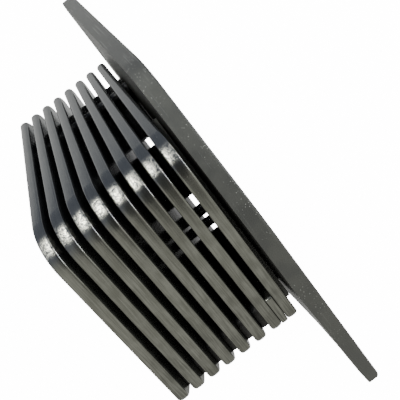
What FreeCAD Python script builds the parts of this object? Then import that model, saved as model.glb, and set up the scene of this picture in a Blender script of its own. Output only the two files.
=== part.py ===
"""A clipper guard comb: eight knee-shaped leaves on tie rods, a long shield on one side and a sprung clip."""
import FreeCAD, Part
import math
import os
import Sketcher

# Axes: +X towards the side shield, +Y towards the free tips of the teeth, +Z towards the skin side.
# The origin lies under the middle of the whole comb, on the surface that it stands on.

DIMENSIONS = {
    # the stack of leaves
    "pitch": 2.4,
    "first_tooth_x": -9.75,
    "edge_half": 0.72,
    "root_half": 0.8,
    "root_thickness": 1.7,
    "draft_top_z": 24.0,
    "draft_low_z": 3.0,
    "draft_side": 3.0,
    "tip_y": 22.4,
    "tip_z": 5.2,
    "knee_y": -0.72,
    "knee_z": 23.2,
    "heel_y": -25.5,
    "heel_z": 18.63,
    "knee_radius": 8.2,
    "tip_radius": 0.95,
    "heel_radius": 0.9,
    "edge_radius": 0.17,
    # the floor
    "floor_z": 6.0,
    "floor_under_z": 4.8,
    "floor_left_x": -10.6,
    "floor_right_x": 8.53,
    "floor_front_y": 15.8,
    "flange_inner_x": -9.2,
    "slot_left_x": -8.4,
    "slot_right_x": 7.2,
    "slot_front_y": 7.1,
    "slot_back_y": 5.2,
    "window_front_y": -5.4,
    "window_back_y": -12.6,
    # the front bar
    "bar_front_y": 19.1,
    "bar_back_y": 15.0,
    "bar_tongue_y": 13.3,
    "bar_low_z": 0.6,
    "bar_top_z": 3.6,
    "bar_round": 0.5,
    # the blocks at the back wall
    "spacer_edge_half": 0.47,
    "spacer_root_half": 0.39,
    "spacer_width": 1.4,
    "spacer_front_y": -21.8,
    "spacer_back_y": -25.15,
    "spacer_front_z": 17.9,
    "spacer_back_z": 17.2,
    "flush_front_y": -21.3,
    "flush_back_y": -25.4,
    "flush_front_z": 19.4,
    "flush_back_z": 18.55,
    "spacer_round": 0.7,
    # the side shield
    "shield_inner_x": 8.53,
    "shield_outer_x": 11.17,
    "shield_thickness": 2.64,
    "shield_top_inner_x": 8.89,
    "shield_tab_inner_x": 9.45,
    "shield_clear_x": 7.75,
    "shield_tip_y": 38.7,
    "shield_tip_z": 0.9,
    "shield_knee_y": 9.1,
    "shield_knee_z": 20.75,
    "shield_crest_y": -13.1,
    "shield_crest_z": 20.85,
    "tab_end_y": -38.7,
    "tab_top_z": 17.5,
    "tab_low_z": 15.6,
    "tab_root_z": 16.3,
    "shield_back_y": -31.0,
    "taper_start_y": -14.6,
    "shield_knee_radius": 10.0,
    "shield_crest_radius": 60.0,
    "tab_root_radius": 3.5,
    "shield_tip_radius": 0.4,
    "shield_heel_radius": 1.5,
    "shield_edge_radius": 0.35,
    # the strip and the bush between the last leaf and the shield
    "rail_inner_x": 7.92,
    "rail_thickness": 0.61,
    "rail_front_y": 4.8,
    "rail_front_z": 16.8,
    "rail_back_z": 13.5,
    "bush_inner_x": 7.85,
    "bush_length": 0.78,
    "bush_radius": 1.1,
    # the tie rods, along X
    "rod_radius": 0.85,
    "thick_rod_radius": 1.0,
    "rod_bore": 0.87,
    "thick_rod_bore": 1.02,
    "rod_left_x": -10.61,
    "rod_head_height": 0.56,
    "rod_head_extra": 0.2,
    "rod_head_bevel": 0.25,
    "rod_shoulder_x": 8.62,
    "rod_end_x": 10.95,
    "rod_end_radius": 0.55,
    "rod_end_bore": 0.57,
    "front_rod_y": 14.8,
    "front_rod_z": 7.4,
    "thick_rod_y": -8.45,
    "thin_rod_y": -10.75,
    "middle_rod_z": 7.2,
    "back_rod_y": -23.2,
    "back_rod_z": 11.0,
    "nut_inner_x": 9.87,
    "nut_thickness": 1.2,
    "nut_radius": 1.0,
    "nut_seat": 1.02,
    "nut_slot_width": 0.35,
    "nut_slot_depth": 0.4,
    # the sprung clip
    "clip_left_x": -7.0,
    "clip_width": 12.0,
    "clip_middle_x": -1.0,
    "pivot_y": -18.6,
    "pivot_z": 2.9,
    "pin_radius": 0.7,
    "pin_running_bore": 0.75,
    "pin_press_bore": 0.71,
    "pin_left_x": -7.3,
    "pin_length": 12.6,
    "lever_low_z": 0.6,
    "lever_top_z": 1.8,
    "hook_front_y": -13.5,
    "hook_back_y": -14.6,
    "hook_top_z": 4.65,
    "nose_y": -13.05,
    "nose_z": 1.5,
    "lever_bend_y": -26.1,
    "lever_end_y": -32.3,
    "lever_end_low_z": 1.73,
    "lever_end_top_z": 2.93,
    "ear_thickness": 1.2,
    "right_ear_x": 3.8,
    "ear_front_y": -17.5,
    "ear_back_y": -19.7,
    "ear_top_z": 4.0,
    "ear_round": 1.0,
    "lug_front_y": -17.6,
    "lug_back_y": -19.6,
    "lug_low_z": 1.9,
    "lug_round": 0.95,
    "lug_thickness": 1.2,
    "left_lug_x": -5.6,
    "right_lug_x": 2.4,
    "left_foot_x": -4.4,
    "right_foot_x": 0.2,
    "foot_width": 2.2,
    "foot_low_z": 4.0,
    "foot_front_y": -16.0,
    "foot_back_y": -21.2,
    "boss_radius": 0.8,
    "boss_height": 0.5,
    "spring_y": -23.0,
    "spring_radius": 1.3,
    "spring_wire": 0.2,
    "spring_low_z": 2.05,
    "spring_rise": 2.5,
    "spring_pitch": 0.72,
    "pad_front_y": -27.1,
    "pad_back_y": -31.7,
    "pad_front_z": 0.78,
    "pad_back_z": 1.62,
    "pad_front_low_z": 0.28,
    "pad_back_low_z": 1.12,
    "pad_left_x": -6.0,
    "pad_width": 10.0,
    # the small rivets, along Z
    "rivet_radius": 0.5,
    "rivet_bore": 0.51,
    "rivet_head_radius": 0.8,
    "rivet_head_height": 0.25,
    "bar_rivet_y": 14.2,
    "foot_rivet_front_y": -16.9,
    "foot_rivet_back_y": -20.3,
}

TOOTH_COUNT = 8
BAR_RIVET_X = (-7.0, -1.0, 5.0)
FOOT_RIVET_X = (-3.2, 1.2)

doc = FreeCAD.newDocument("guard_comb")
sheet = doc.addObject("Spreadsheet::Sheet", "dims")
for row, (alias, number) in enumerate(DIMENSIONS.items(), start=1):
    sheet.set(f"A{row}", alias)
    sheet.set(f"B{row}", str(number))
    sheet.setAlias(f"B{row}", alias)
doc.recompute()


# Sizes -------------------------------------------------------------------------------------------

def bound(formula):
    """The spreadsheet expression for words of the sheet and numbers joined by + and -."""
    return " ".join(f"dims.{word}" if word in DIMENSIONS else word for word in formula.split())


def amount(formula):
    """The same sum worked out now, for a sketch's first guess."""
    total = 0.0
    sign = 1.0
    for word in formula.split():
        if word == "-":
            sign = -1.0
        elif word != "+":
            total += sign * (DIMENSIONS[word] if word in DIMENSIONS else float(word))
            sign = 1.0
    return total


# Bodies, sketches and features -------------------------------------------------------------------

PARTS = []


def new_body(name):
    body = doc.addObject("PartDesign::Body", name)
    body.Label = name
    PARTS.append(body)
    return body


def new_sketch(body, plane, offset=None):
    """A sketch on one of the body's own origin planes, moved along the plane's normal by offset."""
    sketch = body.newObject("Sketcher::SketchObject", f"{body.Name}_sketch")
    origin_plane = next(item for item in body.Origin.OriginFeatures if item.Role == plane)
    sketch.AttachmentSupport = [(origin_plane, "")]
    sketch.MapMode = "FlatFace"
    if offset:
        sketch.setExpression("AttachmentOffset.Base.z", bound(offset))
    return sketch


def bind(sketch, kind, geometry, point, formula):
    """One dimension of the sketch, bound to the sheet."""
    if kind == "Radius":
        index = sketch.addConstraint(Sketcher.Constraint(kind, geometry, amount(formula)))
    else:
        index = sketch.addConstraint(Sketcher.Constraint(kind, -1, 1, geometry, point, amount(formula)))
    sketch.setExpression(f"Constraints[{index}]", bound(formula))


def outline(sketch, corners):
    """A closed outline of straight edges through the corners, each corner placed by two dimensions."""
    points = [FreeCAD.Vector(amount(across), amount(up), 0) for across, up in corners]
    first = sketch.GeometryCount
    for start, end in zip(points, points[1:] + points[:1]):
        sketch.addGeometry(Part.LineSegment(start, end), False)
    for index, (across, up) in enumerate(corners):
        edge = first + index
        following = first + (index + 1) % len(corners)
        sketch.addConstraint(Sketcher.Constraint("Coincident", edge, 2, following, 1))
        bind(sketch, "DistanceX", edge, 1, across)
        bind(sketch, "DistanceY", edge, 1, up)


def circle(sketch, across, up, radius):
    centre = FreeCAD.Vector(amount(across), amount(up), 0)
    index = sketch.addGeometry(Part.Circle(centre, FreeCAD.Vector(0, 0, 1), amount(radius)), False)
    bind(sketch, "DistanceX", index, 3, across)
    bind(sketch, "DistanceY", index, 3, up)
    bind(sketch, "Radius", index, 3, radius)


def pad(body, sketch, length, symmetric=False):
    feature = body.newObject("PartDesign::Pad", f"{body.Name}_pad")
    feature.Profile = sketch
    feature.SideType = "Symmetric" if symmetric else "One side"
    feature.setExpression("Length", bound(length))
    body.Tip = feature
    doc.recompute()
    return feature


def cut(body, sketch, length=None, backwards=False):
    """Cut the sketch out of the body: right through both ways, or to a depth."""
    before = body.Shape.Volume
    feature = body.newObject("PartDesign::Pocket", f"{body.Name}_cut")
    feature.Profile = sketch
    if length is None:
        feature.Type = "ThroughAll"
        feature.SideType = "Symmetric"
    else:
        feature.setExpression("Length", bound(length))
        feature.Reversed = backwards
    body.Tip = feature
    doc.recompute()
    if body.Shape.Volume > before - 1e-6:
        raise RuntimeError(f"a cut in {body.Name} removes nothing")
    return feature


def rounded(body, radius, chosen):
    """Fillet the edges of the body's tip that chosen(edge) accepts."""
    doc.recompute()
    edges = [f"Edge{number}" for number, edge in enumerate(body.Shape.Edges, start=1) if chosen(edge)]
    if not edges:
        raise RuntimeError(f"no edges to round on {body.Name}")
    base = body.Tip
    feature = body.newObject("PartDesign::Fillet", f"{body.Name}_round")
    feature.Base = (base, edges)
    feature.setExpression("Radius", bound(radius))
    body.Tip = feature
    doc.recompute()
    return feature


def edge_through(*corners):
    """Accepts the edges along X that pass through one of the (y, z) corners."""
    places = [(amount(across), amount(up)) for across, up in corners]

    def chosen(edge):
        ends = [vertex.Point for vertex in edge.Vertexes]
        if len(ends) != 2 or abs(ends[0].y - ends[1].y) + abs(ends[0].z - ends[1].z) > 1e-4:
            return False
        return any(math.hypot(ends[0].y - y, ends[0].z - z) < 1e-3 for y, z in places)

    return chosen


# The leaves and the blocks between them ------------------------------------------------------------

RODS = (
    ("rod_front", "front_rod_y", "front_rod_z", "rod_radius", "rod_bore"),
    ("rod_middle_front", "thick_rod_y", "middle_rod_z", "thick_rod_radius", "thick_rod_bore"),
    ("rod_middle_back", "thin_rod_y", "middle_rod_z", "rod_radius", "rod_bore"),
    ("rod_back", "back_rod_y", "back_rod_z", "rod_radius", "rod_bore"),
)


def thin_towards_skin(body, edge_half, root_half):
    """Moulding draft: cut both flanks so that the piece is edge_half wide at the top, root_half below."""
    sketch = new_sketch(body, "XZ_Plane")
    for side in ("", "- "):
        outline(sketch, [
            (side + edge_half, "draft_top_z"),
            (side + root_half, "draft_low_z"),
            (side + "draft_side", "draft_low_z"),
            (side + "draft_side", "draft_top_z"),
        ])
    cut(body, sketch)


def drill_for_rods(body, names):
    sketch = new_sketch(body, "YZ_Plane")
    for name, across, up, _, bore in RODS:
        if name in names:
            circle(sketch, across, up, bore)
    cut(body, sketch)


def stand_at(body, steps):
    """Move the piece along the stack by a number of pitches from the first tooth."""
    body.setExpression("Placement.Base.x", f"dims.first_tooth_x + {steps} * dims.pitch")


def skin_edge(edge):
    """Accepts the long edges between the flanks and the skin-side face of a leaf."""
    ends = [vertex.Point for vertex in edge.Vertexes]
    if len(ends) != 2:
        return False
    runs_across = abs(ends[0].x - ends[1].x) > 0.1
    above_floor = min(ends[0].z, ends[1].z) > DIMENSIONS["tip_z"] - DIMENSIONS["tip_radius"] - 1.2
    upright = abs(ends[0].y - ends[1].y) < 0.02
    return not runs_across and above_floor and not upright


def make_tooth(number):
    body = new_body(f"tooth_{number}")
    sketch = new_sketch(body, "YZ_Plane")
    outline(sketch, [
        ("tip_y", "bar_top_z"),
        ("tip_y", "tip_z"),
        ("knee_y", "knee_z"),
        ("heel_y", "heel_z"),
        ("heel_y", "floor_z"),
        ("floor_front_y", "floor_z"),
        ("floor_front_y", "bar_top_z"),
    ])
    pad(body, sketch, "root_thickness", symmetric=True)
    rounded(body, "knee_radius", edge_through(("knee_y", "knee_z")))
    rounded(body, "heel_radius", edge_through(("heel_y", "heel_z")))
    rounded(body, "tip_radius", edge_through(("tip_y", "tip_z"), ("tip_y", "bar_top_z")))
    thin_towards_skin(body, "edge_half", "root_half")
    drill_for_rods(body, [rod[0] for rod in RODS])
    rounded(body, "edge_radius", skin_edge)
    stand_at(body, number - 1)


def make_spacer(number, flush):
    kind = "flush" if flush else "spacer"
    body = new_body(f"spacer_{number}")
    sketch = new_sketch(body, "YZ_Plane")
    outline(sketch, [
        (f"{kind}_front_y", "floor_z"),
        (f"{kind}_front_y", f"{kind}_front_z"),
        (f"{kind}_back_y", f"{kind}_back_z"),
        (f"{kind}_back_y", "floor_z"),
    ])
    pad(body, sketch, "spacer_width", symmetric=True)
    top_corners = [(f"{kind}_front_y", f"{kind}_front_z"), (f"{kind}_back_y", f"{kind}_back_z")]
    rounded(body, "spacer_round", edge_through(*top_corners))
    thin_towards_skin(body, "spacer_edge_half", "spacer_root_half")
    drill_for_rods(body, ["rod_back"])
    stand_at(body, number - 0.5)


# The floor and the front bar -----------------------------------------------------------------------

def make_base_plate():
    body = new_body("base_plate")
    floor = new_sketch(body, "XY_Plane", "floor_under_z")
    outline(floor, [
        ("floor_left_x", "heel_y"),
        ("floor_right_x", "heel_y"),
        ("floor_right_x", "floor_front_y"),
        ("floor_left_x", "floor_front_y"),
    ])
    pad(body, floor, "floor_z - floor_under_z")
    flange = new_sketch(body, "XY_Plane")
    outline(flange, [
        ("floor_left_x", "heel_y"),
        ("flange_inner_x", "heel_y"),
        ("flange_inner_x", "bar_back_y - 0.05"),
        ("floor_left_x", "bar_back_y - 0.05"),
    ])
    pad(body, flange, "floor_z")
    openings = new_sketch(body, "XY_Plane")
    for front, back in (("slot_front_y", "slot_back_y"), ("window_front_y", "window_back_y")):
        outline(openings, [
            ("slot_left_x", back),
            ("slot_right_x", back),
            ("slot_right_x", front),
            ("slot_left_x", front),
        ])
    for across, up in rivet_places():
        circle(openings, across, up, "rivet_bore")
    cut(body, openings)


def make_front_bar():
    body = new_body("front_bar")
    sketch = new_sketch(body, "YZ_Plane", "floor_left_x")
    outline(sketch, [
        ("bar_front_y", "bar_low_z"),
        ("bar_front_y", "bar_top_z"),
        ("floor_front_y", "bar_top_z"),
        ("floor_front_y", "floor_under_z"),
        ("bar_tongue_y", "floor_under_z"),
        ("bar_tongue_y", "bar_top_z"),
        ("bar_back_y", "bar_top_z"),
        ("bar_back_y", "bar_low_z"),
    ])
    pad(body, sketch, "floor_right_x - floor_left_x")
    rounded(body, "bar_round", edge_through(("bar_front_y", "bar_low_z")))
    corner = new_sketch(body, "XY_Plane")
    outline(corner, [
        ("floor_left_x - 1", "bar_tongue_y - 1"),
        ("flange_inner_x + 0.1", "bar_tongue_y - 1"),
        ("flange_inner_x + 0.1", "bar_back_y"),
        ("floor_left_x - 1", "bar_back_y"),
    ])
    cut(body, corner)
    bores = new_sketch(body, "XY_Plane")
    for x in BAR_RIVET_X:
        circle(bores, str(x), "bar_rivet_y", "rivet_bore")
    cut(body, bores)


# The shield's side ---------------------------------------------------------------------------------

def make_side_shield():
    body = new_body("side_shield")
    sketch = new_sketch(body, "YZ_Plane", "shield_inner_x")
    outline(sketch, [
        ("shield_tip_y", "0"),
        ("shield_tip_y", "shield_tip_z"),
        ("shield_knee_y", "shield_knee_z"),
        ("shield_crest_y", "shield_crest_z"),
        ("tab_end_y", "tab_top_z"),
        ("tab_end_y", "tab_low_z"),
        ("shield_back_y", "tab_root_z"),
        ("shield_back_y", "0"),
    ])
    pad(body, sketch, "shield_thickness")
    rounded(body, "shield_knee_radius", edge_through(("shield_knee_y", "shield_knee_z")))
    rounded(body, "shield_crest_radius", edge_through(("shield_crest_y", "shield_crest_z")))
    rounded(body, "tab_root_radius", edge_through(("shield_back_y", "tab_root_z")))
    rounded(body, "shield_heel_radius", edge_through(("shield_back_y", "0")))
    small_corners = [("shield_tip_y", "shield_tip_z"), ("tab_end_y", "tab_top_z"), ("tab_end_y", "tab_low_z")]
    rounded(body, "shield_tip_radius", edge_through(*small_corners))
    draft = new_sketch(body, "XZ_Plane")
    outline(draft, [
        ("shield_inner_x", "0"),
        ("shield_top_inner_x", "shield_crest_z"),
        ("shield_clear_x", "shield_crest_z"),
        ("shield_clear_x", "0"),
    ])
    cut(body, draft)
    taper = new_sketch(body, "XY_Plane")
    outline(taper, [
        ("shield_inner_x", "taper_start_y"),
        ("shield_tab_inner_x", "tab_end_y"),
        ("shield_clear_x", "tab_end_y"),
        ("shield_clear_x", "taper_start_y"),
    ])
    cut(body, taper)
    outer = DIMENSIONS["shield_outer_x"]

    def outer_rim(edge):
        ends = [vertex.Point for vertex in edge.Vertexes]
        return len(ends) == 2 and all(abs(end.x - outer) < 1e-4 for end in ends)

    rounded(body, "shield_edge_radius", outer_rim)
    rod_ends = new_sketch(body, "YZ_Plane")
    nut_seats = new_sketch(body, "YZ_Plane", "nut_inner_x")
    for _, across, up, _, _ in RODS:
        circle(rod_ends, across, up, "rod_end_bore")
        circle(nut_seats, across, up, "nut_seat")
    cut(body, rod_ends)
    cut(body, nut_seats, "nut_thickness + nut_thickness", backwards=True)


def make_shield_rail():
    body = new_body("shield_rail")
    sketch = new_sketch(body, "YZ_Plane", "rail_inner_x")
    outline(sketch, [
        ("rail_front_y", "floor_z"),
        ("rail_front_y", "rail_front_z"),
        ("heel_y", "rail_back_z"),
        ("heel_y", "floor_z"),
    ])
    pad(body, sketch, "rail_thickness")
    drill_for_rods(body, ["rod_middle_front", "rod_middle_back", "rod_back"])


def make_shield_bush():
    body = new_body("shield_bush")
    sketch = new_sketch(body, "YZ_Plane", "bush_inner_x")
    circle(sketch, "front_rod_y", "front_rod_z", "bush_radius")
    circle(sketch, "front_rod_y", "front_rod_z", "rod_bore")
    pad(body, sketch, "bush_length")


# The tie rods and their nuts -----------------------------------------------------------------------

def make_rod(name, across, up, radius):
    """A rod with a flat head at the first leaf and a thinner end for the nut in the shield."""
    body = new_body(name)
    sketch = new_sketch(body, "XY_Plane")
    outline(sketch, [
        ("rod_left_x - rod_head_height", "0"),
        ("rod_left_x - rod_head_height", f"{radius} + rod_head_extra - rod_head_bevel"),
        ("rod_left_x - rod_head_height + rod_head_bevel", f"{radius} + rod_head_extra"),
        ("rod_left_x", f"{radius} + rod_head_extra"),
        ("rod_left_x", radius),
        ("rod_shoulder_x", radius),
        ("rod_shoulder_x", "rod_end_radius"),
        ("rod_end_x", "rod_end_radius"),
        ("rod_end_x", "0"),
    ])
    turned = body.newObject("PartDesign::Revolution", f"{name}_turned")
    turned.Profile = sketch
    turned.ReferenceAxis = (sketch, ["H_Axis"])
    turned.Angle = 360
    body.Tip = turned
    body.setExpression("Placement.Base.y", bound(across))
    body.setExpression("Placement.Base.z", bound(up))


def make_rod_nuts():
    """Four round nuts with a slot, flush in the shield's outer face."""
    nuts = []
    for name, across, up, _, _ in RODS:
        outside = doc.addObject("Part::Cylinder", f"{name}_nut_outside")
        outside.setExpression("Radius", bound("nut_radius"))
        outside.setExpression("Height", bound("nut_thickness"))
        bore = doc.addObject("Part::Cylinder", f"{name}_nut_bore")
        bore.setExpression("Radius", bound("rod_end_bore"))
        bore.setExpression("Height", bound("nut_thickness"))
        slot = doc.addObject("Part::Box", f"{name}_nut_slot")
        slot.setExpression("Length", bound("nut_slot_width"))
        slot.setExpression("Width", "4 * dims.nut_radius")
        slot.setExpression("Height", bound("nut_slot_depth"))
        slot.setExpression("Placement.Base.x", "-dims.nut_slot_width / 2")
        slot.setExpression("Placement.Base.y", "-2 * dims.nut_radius")
        slot.setExpression("Placement.Base.z", bound("nut_thickness - nut_slot_depth"))
        ring = doc.addObject("Part::Cut", f"{name}_nut_ring")
        ring.Base = outside
        ring.Tool = bore
        nut = doc.addObject("Part::Cut", f"{name}_nut")
        nut.Base = ring
        nut.Tool = slot
        nut.Placement.Rotation = FreeCAD.Rotation(FreeCAD.Vector(0, 1, 0), 90)
        nut.setExpression("Placement.Base.x", bound("nut_inner_x"))
        nut.setExpression("Placement.Base.y", bound(across))
        nut.setExpression("Placement.Base.z", bound(up))
        nuts.append(nut)
    add_group("rod_nuts", nuts)


def add_group(name, members):
    group = doc.addObject("Part::Compound", name)
    group.Label = name
    group.Links = members
    PARTS.append(group)


# The sprung clip under the back of the floor --------------------------------------------------------

def make_clip_lever():
    body = new_body("clip_lever")
    plate = new_sketch(body, "YZ_Plane", "clip_left_x")
    outline(plate, [
        ("hook_front_y", "lever_low_z"),
        ("nose_y", "nose_z"),
        ("hook_front_y", "nose_z + 0.9"),
        ("hook_front_y", "hook_top_z"),
        ("hook_back_y", "hook_top_z"),
        ("hook_back_y", "lever_top_z"),
        ("lever_bend_y", "lever_top_z"),
        ("lever_end_y", "lever_end_top_z"),
        ("lever_end_y", "lever_end_low_z"),
        ("lever_bend_y", "lever_low_z"),
    ])
    pad(body, plate, "clip_width")
    for left_x in ("clip_left_x", "right_ear_x"):
        ear = new_sketch(body, "YZ_Plane", left_x)
        outline(ear, [
            ("ear_front_y", "lever_low_z"),
            ("ear_front_y", "ear_top_z"),
            ("ear_back_y", "ear_top_z"),
            ("ear_back_y", "lever_low_z"),
        ])
        pad(body, ear, "ear_thickness")
    rounded(body, "ear_round", edge_through(("ear_front_y", "ear_top_z"), ("ear_back_y", "ear_top_z")))
    boss = new_sketch(body, "XY_Plane", "lever_top_z")
    circle(boss, "clip_middle_x", "spring_y", "boss_radius")
    pad(body, boss, "boss_height")
    bore = new_sketch(body, "YZ_Plane")
    circle(bore, "pivot_y", "pivot_z", "pin_running_bore")
    cut(body, bore)


def make_clip_bracket(name, lug_x, foot_x, rivet_x):
    body = new_body(name)
    lug = new_sketch(body, "YZ_Plane", lug_x)
    outline(lug, [
        ("lug_front_y", "floor_under_z"),
        ("lug_front_y", "lug_low_z"),
        ("lug_back_y", "lug_low_z"),
        ("lug_back_y", "floor_under_z"),
    ])
    pad(body, lug, "lug_thickness")
    rounded(body, "lug_round", edge_through(("lug_front_y", "lug_low_z"), ("lug_back_y", "lug_low_z")))
    foot = new_sketch(body, "YZ_Plane", foot_x)
    outline(foot, [
        ("foot_front_y", "floor_under_z"),
        ("foot_front_y", "foot_low_z"),
        ("foot_back_y", "foot_low_z"),
        ("foot_back_y", "floor_under_z"),
    ])
    pad(body, foot, "foot_width")
    bore = new_sketch(body, "YZ_Plane")
    circle(bore, "pivot_y", "pivot_z", "pin_press_bore")
    cut(body, bore)
    rivet_bores = new_sketch(body, "XY_Plane")
    for across in ("foot_rivet_front_y", "foot_rivet_back_y"):
        circle(rivet_bores, str(rivet_x), across, "rivet_bore")
    cut(body, rivet_bores)


def make_clip_pin():
    body = new_body("clip_pin")
    sketch = new_sketch(body, "YZ_Plane", "pin_left_x")
    circle(sketch, "pivot_y", "pivot_z", "pin_radius")
    pad(body, sketch, "pin_length")


def make_clip_spring():
    """A short compression spring that stands on the lever's boss."""
    coil = doc.addObject("Part::Helix", "clip_spring_path")
    coil.setExpression("Radius", bound("spring_radius"))
    coil.setExpression("Pitch", bound("spring_pitch"))
    coil.setExpression("Height", bound("spring_rise"))
    coil.SegmentLength = 1
    doc.recompute()
    turns = [f"Edge{number}" for number in range(1, len(coil.Shape.Edges) + 1)]
    wire = doc.addObject("Part::Circle", "clip_spring_wire")
    wire.setExpression("Radius", bound("spring_wire"))
    wire.Placement.Rotation = FreeCAD.Rotation(FreeCAD.Vector(1, 0, 0), 90)
    wire.setExpression("Placement.Base.x", bound("spring_radius"))
    spring = doc.addObject("Part::Sweep", "clip_spring")
    spring.Label = "clip_spring"
    spring.Sections = [wire]
    spring.Spine = (coil, turns)
    spring.Solid = True
    spring.Frenet = True
    spring.setExpression("Placement.Base.x", bound("clip_middle_x"))
    spring.setExpression("Placement.Base.y", bound("spring_y"))
    spring.setExpression("Placement.Base.z", bound("spring_low_z"))
    PARTS.append(spring)


def make_clip_pad():
    body = new_body("clip_pad")
    sketch = new_sketch(body, "YZ_Plane", "pad_left_x")
    outline(sketch, [
        ("pad_front_y", "pad_front_z"),
        ("pad_back_y", "pad_back_z"),
        ("pad_back_y", "pad_back_low_z"),
        ("pad_front_y", "pad_front_low_z"),
    ])
    pad(body, sketch, "pad_width")


# The small rivets ----------------------------------------------------------------------------------

def rivet_places():
    """Where the small rivets stand: three in the front bar, two in each clip bracket."""
    places = [(str(x), "bar_rivet_y") for x in BAR_RIVET_X]
    for x in FOOT_RIVET_X:
        places += [(str(x), "foot_rivet_front_y"), (str(x), "foot_rivet_back_y")]
    return places


def make_base_rivets():
    rivets = []
    for number, (across, up) in enumerate(rivet_places(), start=1):
        under = "bar_top_z" if up == "bar_rivet_y" else "foot_low_z"
        shank = doc.addObject("Part::Cylinder", f"rivet_shank_{number}")
        shank.setExpression("Radius", bound("rivet_radius"))
        shank.setExpression("Height", bound(f"floor_z - {under}"))
        head = doc.addObject("Part::Cylinder", f"rivet_head_{number}")
        head.setExpression("Radius", bound("rivet_head_radius"))
        head.setExpression("Height", bound("rivet_head_height"))
        head.setExpression("Placement.Base.z", "-dims.rivet_head_height")
        rivet = doc.addObject("Part::Fuse", f"rivet_{number}")
        rivet.Base = shank
        rivet.Tool = head
        rivet.setExpression("Placement.Base.x", bound(across))
        rivet.setExpression("Placement.Base.y", bound(up))
        rivet.setExpression("Placement.Base.z", bound(under))
        rivets.append(rivet)
    add_group("base_rivets", rivets)


for tooth in range(1, TOOTH_COUNT + 1):
    make_tooth(tooth)
for gap in range(1, TOOTH_COUNT):
    make_spacer(gap, flush=gap == TOOTH_COUNT - 1)
make_base_plate()
make_front_bar()
make_side_shield()
make_shield_rail()
make_shield_bush()
for rod_name, rod_y, rod_z, rod_size, _ in RODS:
    make_rod(rod_name, rod_y, rod_z, rod_size)
make_rod_nuts()
make_clip_lever()
make_clip_bracket("clip_bracket_left", "left_lug_x", "left_foot_x", FOOT_RIVET_X[0])
make_clip_bracket("clip_bracket_right", "right_lug_x", "right_foot_x", FOOT_RIVET_X[1])
make_clip_pin()
make_clip_spring()
make_clip_pad()
make_base_rivets()
doc.recompute()

for item in doc.Objects:
    if "Invalid" in item.State or "Error" in item.State:
        raise RuntimeError(f"{item.Name} failed: {item.State}")
os.makedirs("parts", exist_ok=True)
for piece in PARTS:
    if piece.Shape.isNull() or not piece.Shape.isValid():
        raise RuntimeError(f"{piece.Label} has no valid shape")
    piece.Shape.exportStep(f"parts/{piece.Label}.step")
    print(f"{piece.Label}: {len(piece.Shape.Solids)} solid(s), {piece.Shape.Volume:.2f} mm3")
box = Part.makeCompound([piece.Shape for piece in PARTS]).BoundBox
print(f"x {box.XMin:.3f} {box.XMax:.3f}  y {box.YMin:.3f} {box.YMax:.3f}  z {box.ZMin:.3f} {box.ZMax:.3f}")
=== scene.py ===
# %% [markdown]
# # A guard comb with a side shield
# The comb is a stack: eight thin leaves with a knee stand on a floor, blocks keep them apart at the back
# wall, a long shield runs beside the last leaf and four rods tie the stack together. Under the floor a
# sprung clip holds a blade. The frame brings the exact solids, so this file works on edges and finishes:
# a moulded edge is never sharp, and it is the thin line of light on it that makes it look real.

# %% Load the frame and keep its box
import math

import bmesh
import bpy
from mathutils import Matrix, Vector


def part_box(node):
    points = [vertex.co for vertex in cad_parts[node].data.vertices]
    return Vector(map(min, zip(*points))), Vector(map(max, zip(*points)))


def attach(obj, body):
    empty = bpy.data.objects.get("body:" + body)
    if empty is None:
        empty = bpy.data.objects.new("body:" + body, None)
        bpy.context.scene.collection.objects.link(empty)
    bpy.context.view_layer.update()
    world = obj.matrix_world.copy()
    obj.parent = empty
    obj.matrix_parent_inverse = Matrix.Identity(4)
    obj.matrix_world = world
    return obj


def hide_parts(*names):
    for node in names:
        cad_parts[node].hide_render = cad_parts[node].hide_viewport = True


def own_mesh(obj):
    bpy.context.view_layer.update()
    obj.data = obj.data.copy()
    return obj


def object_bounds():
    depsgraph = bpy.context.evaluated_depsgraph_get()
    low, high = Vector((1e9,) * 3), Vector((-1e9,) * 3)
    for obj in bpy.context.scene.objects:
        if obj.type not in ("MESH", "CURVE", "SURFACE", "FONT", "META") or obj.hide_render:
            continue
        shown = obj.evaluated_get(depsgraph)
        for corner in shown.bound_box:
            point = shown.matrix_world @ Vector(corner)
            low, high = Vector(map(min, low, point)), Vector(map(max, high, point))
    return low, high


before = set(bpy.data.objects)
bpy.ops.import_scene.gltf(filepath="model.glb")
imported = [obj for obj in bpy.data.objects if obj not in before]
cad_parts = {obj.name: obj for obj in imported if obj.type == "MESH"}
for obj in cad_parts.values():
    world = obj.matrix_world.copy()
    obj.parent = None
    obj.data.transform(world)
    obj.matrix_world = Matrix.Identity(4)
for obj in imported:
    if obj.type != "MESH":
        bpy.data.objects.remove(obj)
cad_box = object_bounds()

MM = 0.001
STACK_PITCH = 2.4      # from one leaf to the next, along x, in millimetres
FLOOR_TOP = 6.0        # the leaves, the blocks and the rivets' shanks meet the floor's top here


def short(box):
    """A box's two corners, rounded for printing."""
    return [[round(value, 5) for value in corner] for corner in box]


print("the frame holds", len(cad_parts), "solids in", short(cad_box))

# %% [markdown]
# ## Arithmetic that builds nodes
# Materials and Geometry Nodes trees are both graphs, and most of their nodes are plain arithmetic. Placing
# those one by one hides what is being worked out. Here a socket is wrapped in a small class whose
# operators add the Math nodes, so that a mask can be written as 1 - wear * 0.4. One method makes every
# other node: its type, its settings, then its sockets' values or links.

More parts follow.
